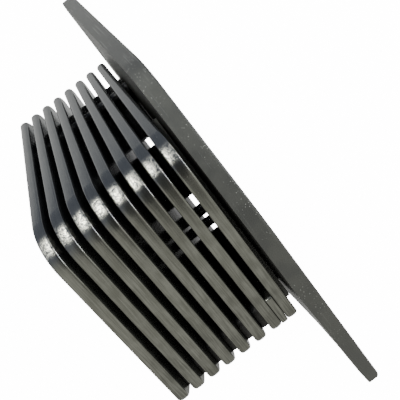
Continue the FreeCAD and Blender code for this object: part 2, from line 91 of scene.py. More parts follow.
# %% Signal and Graph
class Signal:
    """An output socket. Arithmetic on it adds Math nodes."""

    def __init__(self, graph, socket):
        self.graph, self.socket = graph, socket

    def maths(self, operation, first, second):
        return self.graph.node("ShaderNodeMath", {"operation": operation}, {0: first, 1: second})

    def __add__(self, other):
        return self.maths("ADD", self, other)

    def __radd__(self, other):
        return self.maths("ADD", other, self)

    def __sub__(self, other):
        return self.maths("SUBTRACT", self, other)

    def __rsub__(self, other):
        return self.maths("SUBTRACT", other, self)

    def __mul__(self, other):
        return self.maths("MULTIPLY", self, other)

    def __rmul__(self, other):
        return self.maths("MULTIPLY", other, self)

    def __truediv__(self, other):
        return self.maths("DIVIDE", self, other)


class Graph:
    """A node tree, and the one method that adds a node to it."""

    def __init__(self, tree):
        self.tree = tree
        tree.nodes.clear()

    def node(self, kind, settings=None, sockets=None, output=0):
        made = self.tree.nodes.new(kind)
        for name, value in (settings or {}).items():
            if name == "stops":
                set_stops(made.color_ramp, value)
            else:
                setattr(made, name, value)
        for name, value in (sockets or {}).items():
            if isinstance(value, Signal):
                self.tree.links.new(value.socket, made.inputs[name])
            else:
                made.inputs[name].default_value = value
        return Signal(self, made.outputs[output]) if made.outputs else made


def set_stops(ramp, stops):
    """Gives a colour ramp its stops: (position, grey) or (position, (r, g, b))."""
    while len(ramp.elements) < len(stops):
        ramp.elements.new(1.0)
    for element, (position, colour) in zip(ramp.elements, stops):
        element.position = position
        element.color = (*colour, 1) if isinstance(colour, tuple) else (colour, colour, colour, 1)


# %% [markdown]
# ## Where a pattern sits
# Every pattern reads Object coordinates. All pieces have their object at the origin, so a streak runs on
# from one leaf to the next as it would not on real mouldings; stretching the noise along the part and
# squeezing it across makes each edge its own strip. Lengths are turned into millimetres first, because
# scales are easier to judge that way: a noise of scale 2 then has features of about half a millimetre.

# %% Helpers that the finishes share
def new_finish(name):
    """A material with an empty graph."""
    material = bpy.data.materials.new(name)
    material.use_nodes = True
    return material, Graph(material.node_tree)


def millimetres(graph, stretch=(1, 1, 1)):
    """Object coordinates in millimetres, stretched for a pattern that is longer one way."""
    place = graph.node("ShaderNodeTexCoord", output=3)
    return graph.node("ShaderNodeMapping", {}, {"Vector": place, "Scale": [1000 * s for s in stretch]})


def noise(graph, scale, stretch=(1, 1, 1), detail=3.0, rough=0.5):
    """Soft random values around 0.5."""
    sockets = {"Vector": millimetres(graph, stretch), "Scale": scale, "Detail": detail, "Roughness": rough}
    return graph.node("ShaderNodeTexNoise", {}, sockets)


def above(graph, value, low, high):
    """0 where value is under low, 1 over high, and smooth between."""
    settings = {"interpolation_type": "SMOOTHSTEP"}
    return graph.node("ShaderNodeMapRange", settings, {"Value": value, "From Min": low, "From Max": high})


def specks(graph, scale, size, share):
    """Small round dots: the middles of some cells of a Voronoi pattern."""
    cells = millimetres(graph)
    near = graph.node("ShaderNodeTexVoronoi", {}, {"Vector": cells, "Scale": scale})
    which = graph.node("ShaderNodeTexVoronoi", {}, {"Vector": cells, "Scale": scale}, output=1)
    pick = graph.node("ShaderNodeSeparateColor", {}, {"Color": which})
    return (1 - above(graph, near, size * 0.5, size)) * above(graph, pick, 1 - share, 1 - share + 0.01)


def blend_colours(graph, factor, first, second):
    """A colour between two, by a factor."""
    colours = [c if isinstance(c, Signal) else (*c, 1) for c in (first, second)]
    sockets = {0: factor, 6: colours[0], 7: colours[1]}
    return graph.node("ShaderNodeMix", {"data_type": "RGBA"}, sockets, output=2)


def place_axis(graph, axis):
    """One Object coordinate in millimetres: 0 is x, 1 is y, 2 is z."""
    return graph.node("ShaderNodeSeparateXYZ", {}, {"Vector": millimetres(graph)}, output=axis)


def close_finish(graph, height, strength, reach, **surface):
    """Adds the bump, the surface shader and the output."""
    bump = graph.node("ShaderNodeBump", {}, {"Strength": strength, "Distance": reach * MM, "Height": height})
    sockets = {name.replace("_", " "): value for name, value in surface.items()}
    shader = graph.node("ShaderNodeBsdfPrincipled", {}, {**sockets, "Normal": bump})
    graph.node("ShaderNodeOutputMaterial", {}, {"Surface": shader})


# %% [markdown]
# ## The leaves' finish
# The leaves are glass-filled moulding with a gunmetal coat: dark, glossy, and so smooth that the flat
# edges mirror the room. Four things keep them from looking like a computer's idea of chrome. Fine
# streaks along each edge spread the reflection lengthwise, and they are painted lighter, mostly behind
# the knee, as a painted sheen. A slow cloudiness changes the gloss from place to place. Painted shade
# makes the coat darker and cooler in front of the knee than behind it, and darker again at the tip and
# the heel. The knees, which rub on skin and hair, are worn and mottled, and their worn tone is painted
# brighter as a painted highlight where the front lamp's reflection falls.

# %% Gunmetal for the leaves and the flush block
def make_leaf_finish():
    material, graph = new_finish("gunmetal_leaf")
    streaks = noise(graph, 1.0, (9, 0.35, 0.35), detail=4.0)
    clouds = noise(graph, 0.55, detail=2.0)
    grain = noise(graph, 7.0, detail=3.0, rough=0.65)
    dust = specks(graph, 1.7, 0.07, 0.25)
    along, up = place_axis(graph, 1), place_axis(graph, 2)
    # Real wear at the knee together with a painted highlight: the worn tone is painted bright where the front
    # lamp's reflection falls.
    high = above(graph, up, 21.35, 21.8)
    knee = high * above(graph, along, -2.6, -1.9) * above(graph, 0 - along, -0.4, 0.5)
    wear_and_painted_highlight = knee * above(graph, noise(graph, 3.2, rough=0.75), 0.36, 0.58)
    # Painted shade and light: the coat is darker and cooler from the knee to the tip, lighter and warmer behind
    # the knee, and darker again at the heel.
    rear_painted_light = above(graph, 0 - along, 1.5, 5.0)
    tip_painted_shade = above(graph, along, 3.0, 20.0)
    front = blend_colours(graph, tip_painted_shade, (0.050, 0.055, 0.064), (0.036, 0.040, 0.047))
    heel_painted_shade = above(graph, 0 - along, 12.0, 24.0)
    rear = blend_colours(graph, heel_painted_shade, (0.096, 0.099, 0.086), (0.070, 0.072, 0.064))
    dark = blend_colours(graph, rear_painted_light, front, rear)
    # Painted sheen: some streaks are painted lighter, mostly behind the knee where the leaves are lit.
    painted_sheen_streaks = above(graph, streaks + clouds * 0.5, 0.55, 1.0) * (rear_painted_light * 0.6 + 0.12)
    tone = blend_colours(graph, painted_sheen_streaks, dark, (0.185, 0.190, 0.172))
    tone = blend_colours(graph, grain * 0.3, tone, (0.085, 0.086, 0.080))
    tone = blend_colours(graph, wear_and_painted_highlight * 0.8, tone, (0.46, 0.455, 0.40))
    tone = blend_colours(graph, dust * 0.4, tone, (0.26, 0.255, 0.23))
    gloss = 0.13 + clouds * 0.05 + streaks * 0.06 + dust * 0.3 + wear_and_painted_highlight * 0.06
    relief = streaks * 0.5 + grain * 0.3 + wear_and_painted_highlight * 0.6 + dust * 0.4
    close_finish(graph, relief, 0.26, 0.05, Base_Color=tone, Metallic=0.85, Roughness=gloss)
    return material


leaf_finish = make_leaf_finish()
print(leaf_finish.name, "has", len(leaf_finish.node_tree.nodes), "nodes")

# %% [markdown]
# ## The black moulding, with painted shade
# The floor, the front bar and the blocks carry no coat. They are the bare moulding: black, only half
# glossy, and seldom touched. Their colour is set darker than the moulding's own black, as painted shade,
# so that what little shows between the leaves stays dark. A fine grain and a few flow marks are all
# that it needs.

# %% Black moulding, darkened as painted shade
def make_shade_black_moulding():
    material, graph = new_finish("black_moulding_painted_shade")
    flow = noise(graph, 0.5, (1, 0.4, 1), detail=3.0)
    grain = noise(graph, 8.0, detail=3.0, rough=0.6)
    dust = specks(graph, 1.5, 0.08, 0.2)
    # Painted shade: a near-black base, darker than the moulding's own black, stands for the shade between the
    # leaves.
    tone = blend_colours(graph, above(graph, flow, 0.35, 0.7), (0.008, 0.008, 0.009), (0.018, 0.018, 0.018))
    tone = blend_colours(graph, dust * 0.5, tone, (0.12, 0.12, 0.11))
    close_finish(graph, grain + flow * 0.6, 0.3, 0.04, Base_Color=tone, Metallic=0.0,
                 Roughness=0.42 + flow * 0.15 + dust * 0.2, Specular_IOR_Level=0.3)
    return material


shade_black_moulding = make_shade_black_moulding()

# %% [markdown]
# ## The shield's finish
# The shield is the same colour but satin, because it is handled: its long edge has fine lengthwise
# scratches and a scatter of tiny bright nicks. Scratches are noise squeezed hard across and stretched hard
# along, and only its highest values are used, so that they come out as separate lines.

# %% Satin gunmetal for the shield
def make_shield_finish():
    material, graph = new_finish("satin_gunmetal")
    clouds = noise(graph, 0.35, detail=3.0)
    brush = noise(graph, 1.0, (11, 0.5, 0.5), detail=3.0)
    scratch = above(graph, noise(graph, 1.0, (6, 0.12, 0.3), detail=1.0, rough=0.3), 0.66, 0.70)
    grain = noise(graph, 9.0, detail=2.0)
    rubbed = above(graph, place_axis(graph, 2), 18.0, 19.5) * above(graph, noise(graph, 0.28), 0.44, 0.56)
    nicks = specks(graph, 4.6, 0.27, 0.30) * rubbed
    patches = above(graph, clouds, 0.35, 0.65)
    tone = blend_colours(graph, patches, (0.061, 0.063, 0.061), (0.073, 0.075, 0.071))
    tone = blend_colours(graph, scratch * 0.3, tone, (0.13, 0.135, 0.13))
    tone = blend_colours(graph, nicks * 0.6, tone, (0.50, 0.51, 0.49))
    gloss = 0.42 + clouds * 0.12 + brush * 0.06 - scratch * 0.10
    relief = brush * 0.4 + grain * 0.35 + nicks * 0.8 - scratch * 0.5
    close_finish(graph, relief, 0.35, 0.05, Base_Color=tone, Metallic=0.75, Roughness=gloss)
    return material


shield_finish = make_shield_finish()
print(shield_finish.name, "has", len(shield_finish.node_tree.nodes), "nodes")

# %% [markdown]
# ## Steel
# There are three steels here. The rods and their nuts are turned, so their marks run round them. The clip
# is cut from rolled sheet, with the rolling marks along it. The spring is drawn wire, brighter than both.
# One recipe serves all three: only the colour, the gloss and the way the marks run differ.

# %% Turned, rolled and drawn steel
def make_steel(name, colour, light, gloss, stretch):
    material, graph = new_finish(name)
    marks = noise(graph, 1.0, stretch, detail=4.0, rough=0.6)
    haze = noise(graph, 0.8, detail=2.0)
    stains = above(graph, noise(graph, 1.6, detail=3.0), 0.60, 0.72)
    tone = blend_colours(graph, above(graph, marks, 0.35, 0.7), colour, light)
    tone = blend_colours(graph, stains * 0.35, tone, [c * 0.6 for c in colour])
    close_finish(graph, marks, 0.25, 0.03, Base_Color=tone, Metallic=1.0,
                 Roughness=gloss + marks * 0.12 + haze * 0.08 + stains * 0.10)
    return material


rod_steel = make_steel("blackened_rod_steel", (0.030, 0.030, 0.032), (0.055, 0.055, 0.058), 0.36,
                       (14, 0.6, 0.6))
sheet_steel = make_steel("rolled_clip_steel", (0.36, 0.36, 0.37), (0.48, 0.48, 0.49), 0.26, (12, 0.5, 2))
spring_steel = make_steel("drawn_spring_wire", (0.48, 0.48, 0.49), (0.60, 0.60, 0.61), 0.16, (3, 3, 3))
print("steels:", rod_steel.name, sheet_steel.name, spring_steel.name)

# %% [markdown]
# ## Rubber
# The pad under the clip's tab is black rubber. It has almost no mirror in it: a high roughness, a fine
# pebbled bump and a little grey dust that settles in patches.

# %% Rubber for the thumb pad
def make_pad_rubber():
    material, graph = new_finish("pad_rubber")
    pebbles = noise(graph, 11.0, detail=2.0)
    dusty = above(graph, noise(graph, 0.9, detail=3.0), 0.48, 0.66)
    tone = blend_colours(graph, dusty * 0.5, (0.026, 0.026, 0.028), (0.075, 0.074, 0.072))
    close_finish(graph, pebbles, 0.35, 0.04, Base_Color=tone, Metallic=0.0,
                 Roughness=0.72 + dusty * 0.15)
    return material


pad_rubber = make_pad_rubber()

# %% [markdown]
# ## From a working object to a plain mesh
# A piece is finished when its object stands at the origin with a plain mesh and no modifier. The evaluated
# object gives that mesh. Its edges are then rounded: edges between faces that meet at more than a given
# angle get a small bevel, which is what catches the light, and the rest is shaded smooth.

# %% Helpers that finish a mesh
SHARP = math.radians(33)


def as_piece(name, mesh, *finishes):
    """An object at the origin with this mesh."""
    piece = bpy.data.objects.new(name, mesh)
    bpy.context.scene.collection.objects.link(piece)
    mesh.name = name
    if finishes:
        mesh.materials.clear()
        for finish in finishes:
            mesh.materials.append(finish)
    return piece


def evaluated_mesh(piece):
    """The mesh that the modifiers make."""
    depsgraph = bpy.context.evaluated_depsgraph_get()
    return bpy.data.meshes.new_from_object(piece.evaluated_get(depsgraph), depsgraph=depsgraph)


def round_edges(mesh, width, segments=3):
    """Bevels the sharp edges of a closed mesh by width in millimetres, and shades it smooth."""
    work = bmesh.new()
    work.from_mesh(mesh)
    bmesh.ops.remove_doubles(work, verts=work.verts, dist=0.002 * MM)
    bmesh.ops.dissolve_limit(work, angle_limit=math.radians(0.6), verts=work.verts, edges=work.edges)
    sharp = [edge for edge in work.edges if edge.is_manifold and edge.calc_face_angle() > SHARP]
    if sharp and width:
        bmesh.ops.bevel(work, geom=sharp, offset=width * MM, offset_type="OFFSET", segments=segments,
                        profile=0.5, affect="EDGES", clamp_overlap=True, material=-1)
    for face in work.faces:
        face.smooth = True
    for edge in work.edges:
        edge.smooth = not (edge.is_manifold and edge.calc_face_angle() > math.radians(50))
    work.to_mesh(mesh)
    work.free()
    return mesh


def settle_normals(piece):
    """Weights the normals by face area, so flat faces shade flat up to their rounded edge."""
    weigh = piece.modifiers.new("weigh", "WEIGHTED_NORMAL")
    weigh.keep_sharp = True
    weigh.weight = 80
    mesh = evaluated_mesh(piece)
    piece.modifiers.clear()
    old = piece.data
    piece.data = mesh
    mesh.name = piece.name
    bpy.data.meshes.remove(old)
    return piece


def hand_over(piece, nodes, body="comb"):
    """Hides the solids that a finished piece stands in for, and hangs it on the body that it rides on."""
    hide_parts(*nodes)
    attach(piece, body)
    print(piece.name, "has", len(piece.data.polygons), "faces")


def softened(name, node, width, finish, body="comb", segments=3, reshape=None):
    """A copy of a solid of the frame with rounded edges, standing in for it. reshape changes it first."""
    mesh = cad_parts[node].data.copy()
    if reshape:
        reshape(mesh)
    round_edges(mesh, width, segments)
    hand_over(settle_normals(as_piece(name, mesh, finish)), [node], body)


# %% [markdown]
# ## The leaf's outline
# A leaf is a flat plate whose outline is a few straight runs with a rounded corner at the tip, the knee
# and the heel. An outline like this is best given as its sharp corners and a radius at each: the straight
# runs stay straight, and a radius can be changed without moving anything else. Moved inwards by an inset,
# the same corners and smaller radii give a parallel outline with just as many points.

# %% Rounded outlines
def turned(vector, angle):
    """A flat vector turned by an angle."""
    return Vector((vector.x * math.cos(angle) - vector.y * math.sin(angle),
                   vector.x * math.sin(angle) + vector.y * math.cos(angle)))


def rounded_outline(corners, inset=0.0, step=math.radians(3)):
    """Points of a closed outline from (y, z, radius) corners in millimetres, moved inwards by inset."""
    points = []
    places = [Vector(corner[:2]) for corner in corners]
    area = sum(places[k - 1].x * places[k].y - places[k].x * places[k - 1].y for k in range(len(places)))
    for number, (_, _, radius) in enumerate(corners):
        before = (places[number - 1] - places[number]).normalized()
        after = (places[(number + 1) % len(places)] - places[number]).normalized()
        half = before.angle(after) / 2
        bisector = (before + after).normalized()
        left_turn = before.x * after.y - before.y * after.x < 0
        outwards = -1 if left_turn == (area > 0) else 1
        corner = places[number] - bisector * outwards * inset / math.sin(half)
        if not radius:
            points.append(corner)
            continue
        radius = radius - inset
        centre = corner + bisector * radius / math.sin(half)
        start = corner + before * radius / math.tan(half) - centre
        turn = math.pi - 2 * half
        way = 1 if left_turn else -1
        count = max(3, math.ceil(turn / step))
        points += [centre + turned(start, way * turn * part / count) for part in range(count + 1)]
    return points


leaf_corners = [(22.4, 3.6, 0.75), (22.4, 5.2, 0.75), (-0.72, 23.2, 8.2), (-25.5, 18.63, 0.9),
                (-25.5, FLOOR_TOP, 0), (15.8, FLOOR_TOP, 0), (15.8, 3.6, 0)]
print("the leaf's outline has", len(rounded_outline(leaf_corners)), "points")

# %% [markdown]
# ## A plate with soft edges
# A leaf's long edges are rounded a little, but its free tip is nearly half round, so that it parts the
# hair without catching, and its heel is softer too. A bevel has one width, so the plate is built
# directly: rings of points go from one flank over the edge to the other flank, each ring a parallel
# outline. How far the rounding reaches, inwards and across, is chosen point by point. The plate is made
# with its flanks at x = -1 and x = 1, and the next step gives it its real thickness.

# %% The plate builder
def soft_plate(name, corners, deepest, rounding):
    """A closed plate between x = -1 and 1. rounding(y, z) gives the edge's reach inwards in millimetres, at
    most deepest, its reach across as a share of the half thickness, and how much narrower the edge is."""
    outer, inner = rounded_outline(corners), rounded_outline(corners, deepest)
    steps, crown_height = 5, 0.03
    arc = [math.pi / 2 * (1 - part / steps) for part in range(steps + 1)]
    shares = [(1 - math.cos(angle), 1 - math.sin(angle)) for angle in arc]
    flank = [(-1, share) for share in reversed(shares)]
    rings = flank + [(0, (1, 0))] + [(1, share) for share in shares]
    points = []
    for side, (narrow, deep) in rings:
        for edge, middle in zip(outer, inner):
            reach, share, neck = rounding(edge.x, edge.y)
            crown = crown_height if side else 0.0
            place = edge.lerp(middle, (crown + (reach - crown) * deep) / deepest)
            slim = neck if narrow > 0 else 0
            points.append((side * (1 - share * narrow - slim), place.x * MM, place.y * MM))
    count = len(outer)
    faces = [tuple(range(count)), tuple(range((len(rings) - 1) * count, len(rings) * count))]
    for ring in range(len(rings) - 1):
        for k in range(count):
            a, b = ring * count + k, ring * count + (k + 1) % count
            faces.append((a, b, b + count, a + count))
    mesh = bpy.data.meshes.new(name)
    mesh.from_pydata(points, [], faces)
    work = bmesh.new()
    work.from_mesh(mesh)
    bmesh.ops.recalc_face_normals(work, faces=work.faces)
    for edge in work.edges:
        edge.smooth = edge.calc_face_angle() < math.radians(50)
    for face in work.faces:
        face.smooth = True
    work.to_mesh(mesh)
    work.free()
    return mesh


def ease(value, low, high):
    """0 under low, 1 over high, smooth between."""
    t = min(max((value - low) / (high - low), 0), 1)
    return t * t * (3 - 2 * t)


def leaf_rounding(y, z):
    """Full at the free tip, stronger at the heel, small along the rest, with a slight neck by the tip."""
    soft = max(ease(y, 21.2, 22.3), 0.35 * ease(-y, 24.4, 25.4))
    neck = ease(y, 16.5, 19.5) * (1 - ease(y, 20.2, 21.6))
    return 0.24 + 0.34 * soft, 0.36 + 0.50 * soft, 0.09 * neck


leaf_deepest = 0.6
leaf_plate = soft_plate("leaf_plate", leaf_corners, leaf_deepest, leaf_rounding)
print("one leaf has", len(leaf_plate.polygons), "faces")

# %% [markdown]
# ## The stack of leaves
# All eight leaves come from one mould: the same plate, repeated at one pitch, a little thinner at the
# skin side than at the floor so that it leaves the mould. That is a rule, so Geometry Nodes make it. The
# tree gives the plate its thickness, less towards the skin, sets it on a line of points and turns
# everything into real geometry. The same tree makes the blocks at the back wall from another outline.

# %% How every tree opens and closes
def open_tree(name, lengths, counts=()):
    """A Geometry Nodes tree with named inputs: its graph, and each input by name."""
    tree = bpy.data.node_groups.new(name, "GeometryNodeTree")
    tree.interface.new_socket("Geometry", in_out="INPUT", socket_type="NodeSocketGeometry")
    for length in lengths:
        tree.interface.new_socket(length, in_out="INPUT", socket_type="NodeSocketFloat")
    for count in counts:
        tree.interface.new_socket(count, in_out="INPUT", socket_type="NodeSocketInt")
    tree.interface.new_socket("Geometry", in_out="OUTPUT", socket_type="NodeSocketGeometry")
    graph = Graph(tree)
    group = tree.nodes.new("NodeGroupInput")
    return graph, {socket.name: Signal(graph, socket) for socket in group.outputs if socket.name}


def joined(graph, *parts):
    """Several geometries as one."""
    join = graph.tree.nodes.new("GeometryNodeJoinGeometry")
    for part in parts:
        graph.tree.links.new(part.socket, join.inputs[0])
    return Signal(graph, join.outputs[0])


def close_tree(graph, geometry, finish):
    """Makes the instances real, gives them their finish and ends the tree."""
    real = graph.node("GeometryNodeRealizeInstances", {}, {"Geometry": geometry})
    coated = graph.node("GeometryNodeSetMaterial", {}, {"Geometry": real, "Material": finish})
    group_out = graph.tree.nodes.new("NodeGroupOutput")
    graph.tree.links.new(coated.socket, group_out.inputs[0])
    return graph.tree


# %% The tree that drafts and repeats a plate
def stack_tree(finish):
    lengths = ("Edge Half", "Root Half", "Top Z", "Low Z", "First X", "Pitch")
    graph, given = open_tree("plate_stack", lengths, ["Count"])
    place = graph.node("GeometryNodeInputPosition")
    side, y, z = [graph.node("ShaderNodeSeparateXYZ", {}, {0: place}, output=axis) for axis in range(3)]
    fall = (given["Top Z"] - z) / (given["Top Z"] - given["Low Z"])
    half = given["Edge Half"] + (given["Root Half"] - given["Edge Half"]) * fall
    drafted = graph.node("ShaderNodeCombineXYZ", {}, {0: side * half, 1: y, 2: z})
    plate = graph.node("GeometryNodeSetPosition", {}, {"Geometry": given["Geometry"], "Position": drafted})
    start = graph.node("ShaderNodeCombineXYZ", {}, {0: given["First X"]})
    step = graph.node("ShaderNodeCombineXYZ", {}, {0: given["Pitch"]})
    line = graph.node("GeometryNodeMeshLine", {}, {"Count": given["Count"], "Start Location": start,
                                                   "Offset": step})
    copies = graph.node("GeometryNodeInstanceOnPoints", {}, {"Points": line, "Instance": plate})
    return close_tree(graph, copies, finish)


plate_stack = stack_tree(leaf_finish)
print("the stack's tree has", len(plate_stack.nodes), "nodes")


# %% A helper that runs a tree on a mesh
def grow(name, mesh, tree, finish, **values):
    """Runs a Geometry Nodes tree on a mesh with these inputs, and returns the plain result."""
    seed = as_piece(name + "_seed", mesh)
    modifier = seed.modifiers.new("grow", "NODES")
    modifier.node_group = tree
    ways = {item.name: item.identifier for item in tree.interface.items_tree if item.in_out == "INPUT"}
    for title, value in values.items():
        modifier[ways[title.replace("_", " ")]] = value
    made = evaluated_mesh(seed)
    seed.modifiers.clear()
    bpy.data.objects.remove(seed)
    return as_piece(name, made, finish)


# %% The eight leaves
LEAVES, FIRST_LEAF = 8, -9.75
DRAFT_TOP, DRAFT_LOW = 24.0, 3.0


def stacked(name, plate, finish, edge_half, root_half, first, count):
    """Copies of a plate, drafted between two heights and set at the stack's pitch from x = first."""
    piece = grow(name, plate, plate_stack, finish, Edge_Half=edge_half * MM, Root_Half=root_half * MM,
                 Top_Z=DRAFT_TOP * MM, Low_Z=DRAFT_LOW * MM, First_X=first * MM,
                 Pitch=STACK_PITCH * MM, Count=count)
    return settle_normals(piece)


leaves = stacked("comb_leaves", leaf_plate, leaf_finish, 0.72, 0.80, FIRST_LEAF, LEAVES)
hand_over(leaves, [f"tooth_{number}" for number in range(1, LEAVES + 1)])

# %% [markdown]
# ## The blocks at the back wall
# Six blocks sit a little below the leaves' edges and lie in shadow. The seventh, beside the shield, is
# nearly flush with the edges and has a dark seam on each side. Both kinds are short plates.

# %% The seven blocks
RECESSED = 6


def make_blocks(name, corners, gap, count, finish):
    """Blocks in this many gaps, from the gap with this number on. Gap 1 is beside the first leaf."""
    reach = 0.15
    plate = soft_plate(name + "_plate", corners, reach, lambda y, z: (reach, 0.25, 0.0))
    first = FIRST_LEAF + (gap - 0.5) * STACK_PITCH
    blocks = stacked(name, plate, finish, 0.47, 0.39, first, count)
    hand_over(blocks, [f"spacer_{number}" for number in range(gap, gap + count)])


make_blocks("back_blocks", [(-21.8, FLOOR_TOP, 0), (-21.8, 17.9, 1.1), (-25.15, 17.2, 0.5),
                            (-25.15, FLOOR_TOP, 0)], 1, RECESSED, shade_black_moulding)
make_blocks("flush_block", [(-21.3, FLOOR_TOP, 0), (-21.3, 19.4, 0.3), (-25.4, 18.55, 0.4),
                            (-25.4, FLOOR_TOP, 0)], RECESSED + 1, 1, leaf_finish)

# %% [markdown]
# ## The other mouldings
# The floor, the front bar, the shield and its strip have cuts and tapers that the frame's solids already
# hold exactly. They are copied, their triangles joined into whole faces, and their edges rounded.

# %% Floor and front bar
softened("comb_floor", "base_plate", 0.12, shade_black_moulding)
softened("front_crossbar", "front_bar", 0.15, shade_black_moulding)

# %% [markdown]
# ## The shield's round ends
# Seen from above, the shield's two ends are round, far more so than a bevel could make them without
# spoiling its other edges. So the solid is sliced a few times close to each end, at the places where a
# quarter circle turns by equal angles, and each slice is narrowed about the middle by as much as the
# circle asks. The end itself stays where it is.

# %% Shield and strip
def round_end(work, end, inner, outer, radius, cuts=6):
    """Rounds the end at y = end, whose flanks are at x = inner and outer, all in millimetres."""
    way = math.copysign(1, end)
    middle, half = (inner + outer) / 2, (outer - inner) / 2
    for cut in range(cuts + 1):
        place = end - way * radius * (1 - math.sin(0.5 * math.pi * cut / cuts))
        bmesh.ops.bisect_plane(work, geom=work.verts[:] + work.edges[:] + work.faces[:],
                               plane_co=(0, place * MM, 0), plane_no=(0, 1, 0), dist=1e-7)
    for vert in work.verts:
        inside = radius - way * (end - vert.co.y / MM)
        if inside > 0:
            inset = radius - math.sqrt(max(0, radius ** 2 - inside ** 2))
            vert.co.x = (middle + (vert.co.x / MM - middle) * (half - inset) / half) * MM


def round_shield_ends(mesh):
    """The tail is narrower than the tip, because the shield's inner flank runs outwards behind the leaves."""
    tail_inner = 9.45
    (inner, tail, _), (outer, tip, _) = [[value / MM for value in corner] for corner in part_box("side_shield")]
    work = bmesh.new()
    work.from_mesh(mesh)
    round_end(work, tip, inner, outer, 0.85)
    round_end(work, tail, tail_inner, outer, 0.6)
    work.to_mesh(mesh)
    work.free()


softened("long_shield", "side_shield", 0.16, shield_finish, reshape=round_shield_ends)
softened("shield_strip", "shield_rail", 0.08, shield_finish, segments=2)

# %% [markdown]
# ## Rods, bush and nuts
# The rods are turned steel. Their heads show on the first leaf's flank, and each far end carries a slotted
# nut sunk in the shield.

# %% The four rods and what sits on them
for node in ("rod_front", "rod_middle_front", "rod_middle_back", "rod_back"):
    softened("turned_" + node, node, 0.05, rod_steel, segments=2)
softened("spacer_bush", "shield_bush", 0.05, rod_steel, segments=2)
softened("slotted_nuts", "rod_nuts", 0.06, rod_steel, segments=2)

# %% [markdown]
# ## The small rivets
# Seven rivets hold the front bar and the clip's brackets to the floor. Each is a domed head under the
# sheet and a shank that reaches the floor's top, so one rivet is made and set on seven points. The points
# are the only thing the tree is given: the shank's length follows from how high the point is.

# %% The rivet tree and the seven rivets
def rivet_tree(finish):
    graph, given = open_tree("rivets", ("Shank Radius", "Head Radius", "Head Height", "Top Z"))
    shank = graph.node("GeometryNodeMeshCylinder", {}, {
        "Vertices": 28, "Radius": given["Shank Radius"], "Depth": 1.0})
    lift = graph.node("ShaderNodeCombineXYZ", {}, {2: 0.5})
    shank = graph.node("GeometryNodeTransform", {}, {"Geometry": shank, "Translation": lift})
    points = graph.node("GeometryNodeInputPosition")
    reach = given["Top Z"] - graph.node("ShaderNodeSeparateXYZ", {}, {0: points}, output=2)
    tall = graph.node("ShaderNodeCombineXYZ", {}, {0: 1.0, 1: 1.0, 2: reach})
    shanks = graph.node("GeometryNodeInstanceOnPoints", {}, {
        "Points": given["Geometry"], "Instance": shank, "Scale": tall})
    ball = graph.node("GeometryNodeMeshUVSphere", {}, {"Segments": 28, "Rings": 14, "Radius": 1.0})
    flat = graph.node("ShaderNodeCombineXYZ", {}, {
        0: given["Head Radius"], 1: given["Head Radius"], 2: given["Head Height"]})
    heads = graph.node("GeometryNodeInstanceOnPoints", {}, {
        "Points": given["Geometry"], "Instance": ball, "Scale": flat})
    return close_tree(graph, joined(graph, shanks, heads), finish)


def points_mesh(name, places):
    """A mesh of loose points, given in millimetres."""
    mesh = bpy.data.meshes.new(name)
    mesh.from_pydata([[value * MM for value in place] for place in places], [], [])
    return mesh


bar_rivets = [(x, 14.2, 3.6) for x in (-7, -1, 5)]
bracket_rivets = [(x, y, 4.0) for x in (-3.2, 1.2) for y in (-16.9, -20.3)]
rivets = grow("floor_rivets", points_mesh("rivet_points", bar_rivets + bracket_rivets), rivet_tree(rod_steel),
              rod_steel, Shank_Radius=0.5 * MM, Head_Radius=0.8 * MM, Head_Height=0.25 * MM,
              Top_Z=FLOOR_TOP * MM)
round_edges(rivets.data, 0.04, 2)
hand_over(settle_normals(rivets), ["base_rivets"])

# %% [markdown]
# ## The clip
# The clip is a bent steel lever on a cross pin between two riveted lugs. These keep their frame shapes
# with rounded edges. The lever rides on the clip's body, the rest on the comb's.

# %% Lever, lugs and pin
softened("clip_arm", "clip_lever", 0.10, sheet_steel, body="clip")
softened("clip_lug_left", "clip_bracket_left", 0.08, sheet_steel, segments=2)
softened("clip_lug_right", "clip_bracket_right", 0.08, sheet_steel, segments=2)
softened("cross_pin", "clip_pin", 0.06, rod_steel, segments=2)

# %% [markdown]
# ## The spring
# A compression spring is a circle swept along a helix, with the wire's ends capped. A spiral curve and a
# circle profile in Geometry Nodes give just that, and the turns, the radius and the wire stay adjustable.
# When the lever is pressed the spring shortens towards the floor.

# %% The spring tree and the spring
def spring_tree(finish):
    graph, given = open_tree("coil_spring", ("Turns", "Coil Radius", "Rise", "Wire Radius"))
    coil = graph.node("GeometryNodeCurveSpiral", {}, {
        "Resolution": 40, "Rotations": given["Turns"], "Start Radius": given["Coil Radius"],
        "End Radius": given["Coil Radius"], "Height": given["Rise"]})
    wire = graph.node("GeometryNodeCurvePrimitiveCircle", {"mode": "RADIUS"}, {
        "Resolution": 16, "Radius": given["Wire Radius"]})
    swept = graph.node("GeometryNodeCurveToMesh", {}, {
        "Curve": coil, "Profile Curve": wire, "Fill Caps": True})
    placed = graph.node("GeometryNodeInstanceOnPoints", {}, {"Points": given["Geometry"], "Instance": swept})
    return close_tree(graph, placed, finish)


CLIP_X = -1.0
coil_rise, coil_pitch = 2.5, 0.72
spring = grow("coil_spring", points_mesh("spring_foot", [(CLIP_X, -23.0, 2.05)]), spring_tree(spring_steel),
              spring_steel, Turns=coil_rise / coil_pitch, Coil_Radius=1.3 * MM, Rise=coil_rise * MM,
              Wire_Radius=0.2 * MM)
for face in spring.data.polygons:
    face.use_smooth = True
hand_over(spring, ["clip_spring"])
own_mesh(spring)

# %% [markdown]
# ## The thumb pad
# The pad gives the thumb a grip on the clip's tab: a thin rubber sheet with low round ribs across it. The
# ribs are evenly spaced along the slope of the tab, so they are instances on a line of points.

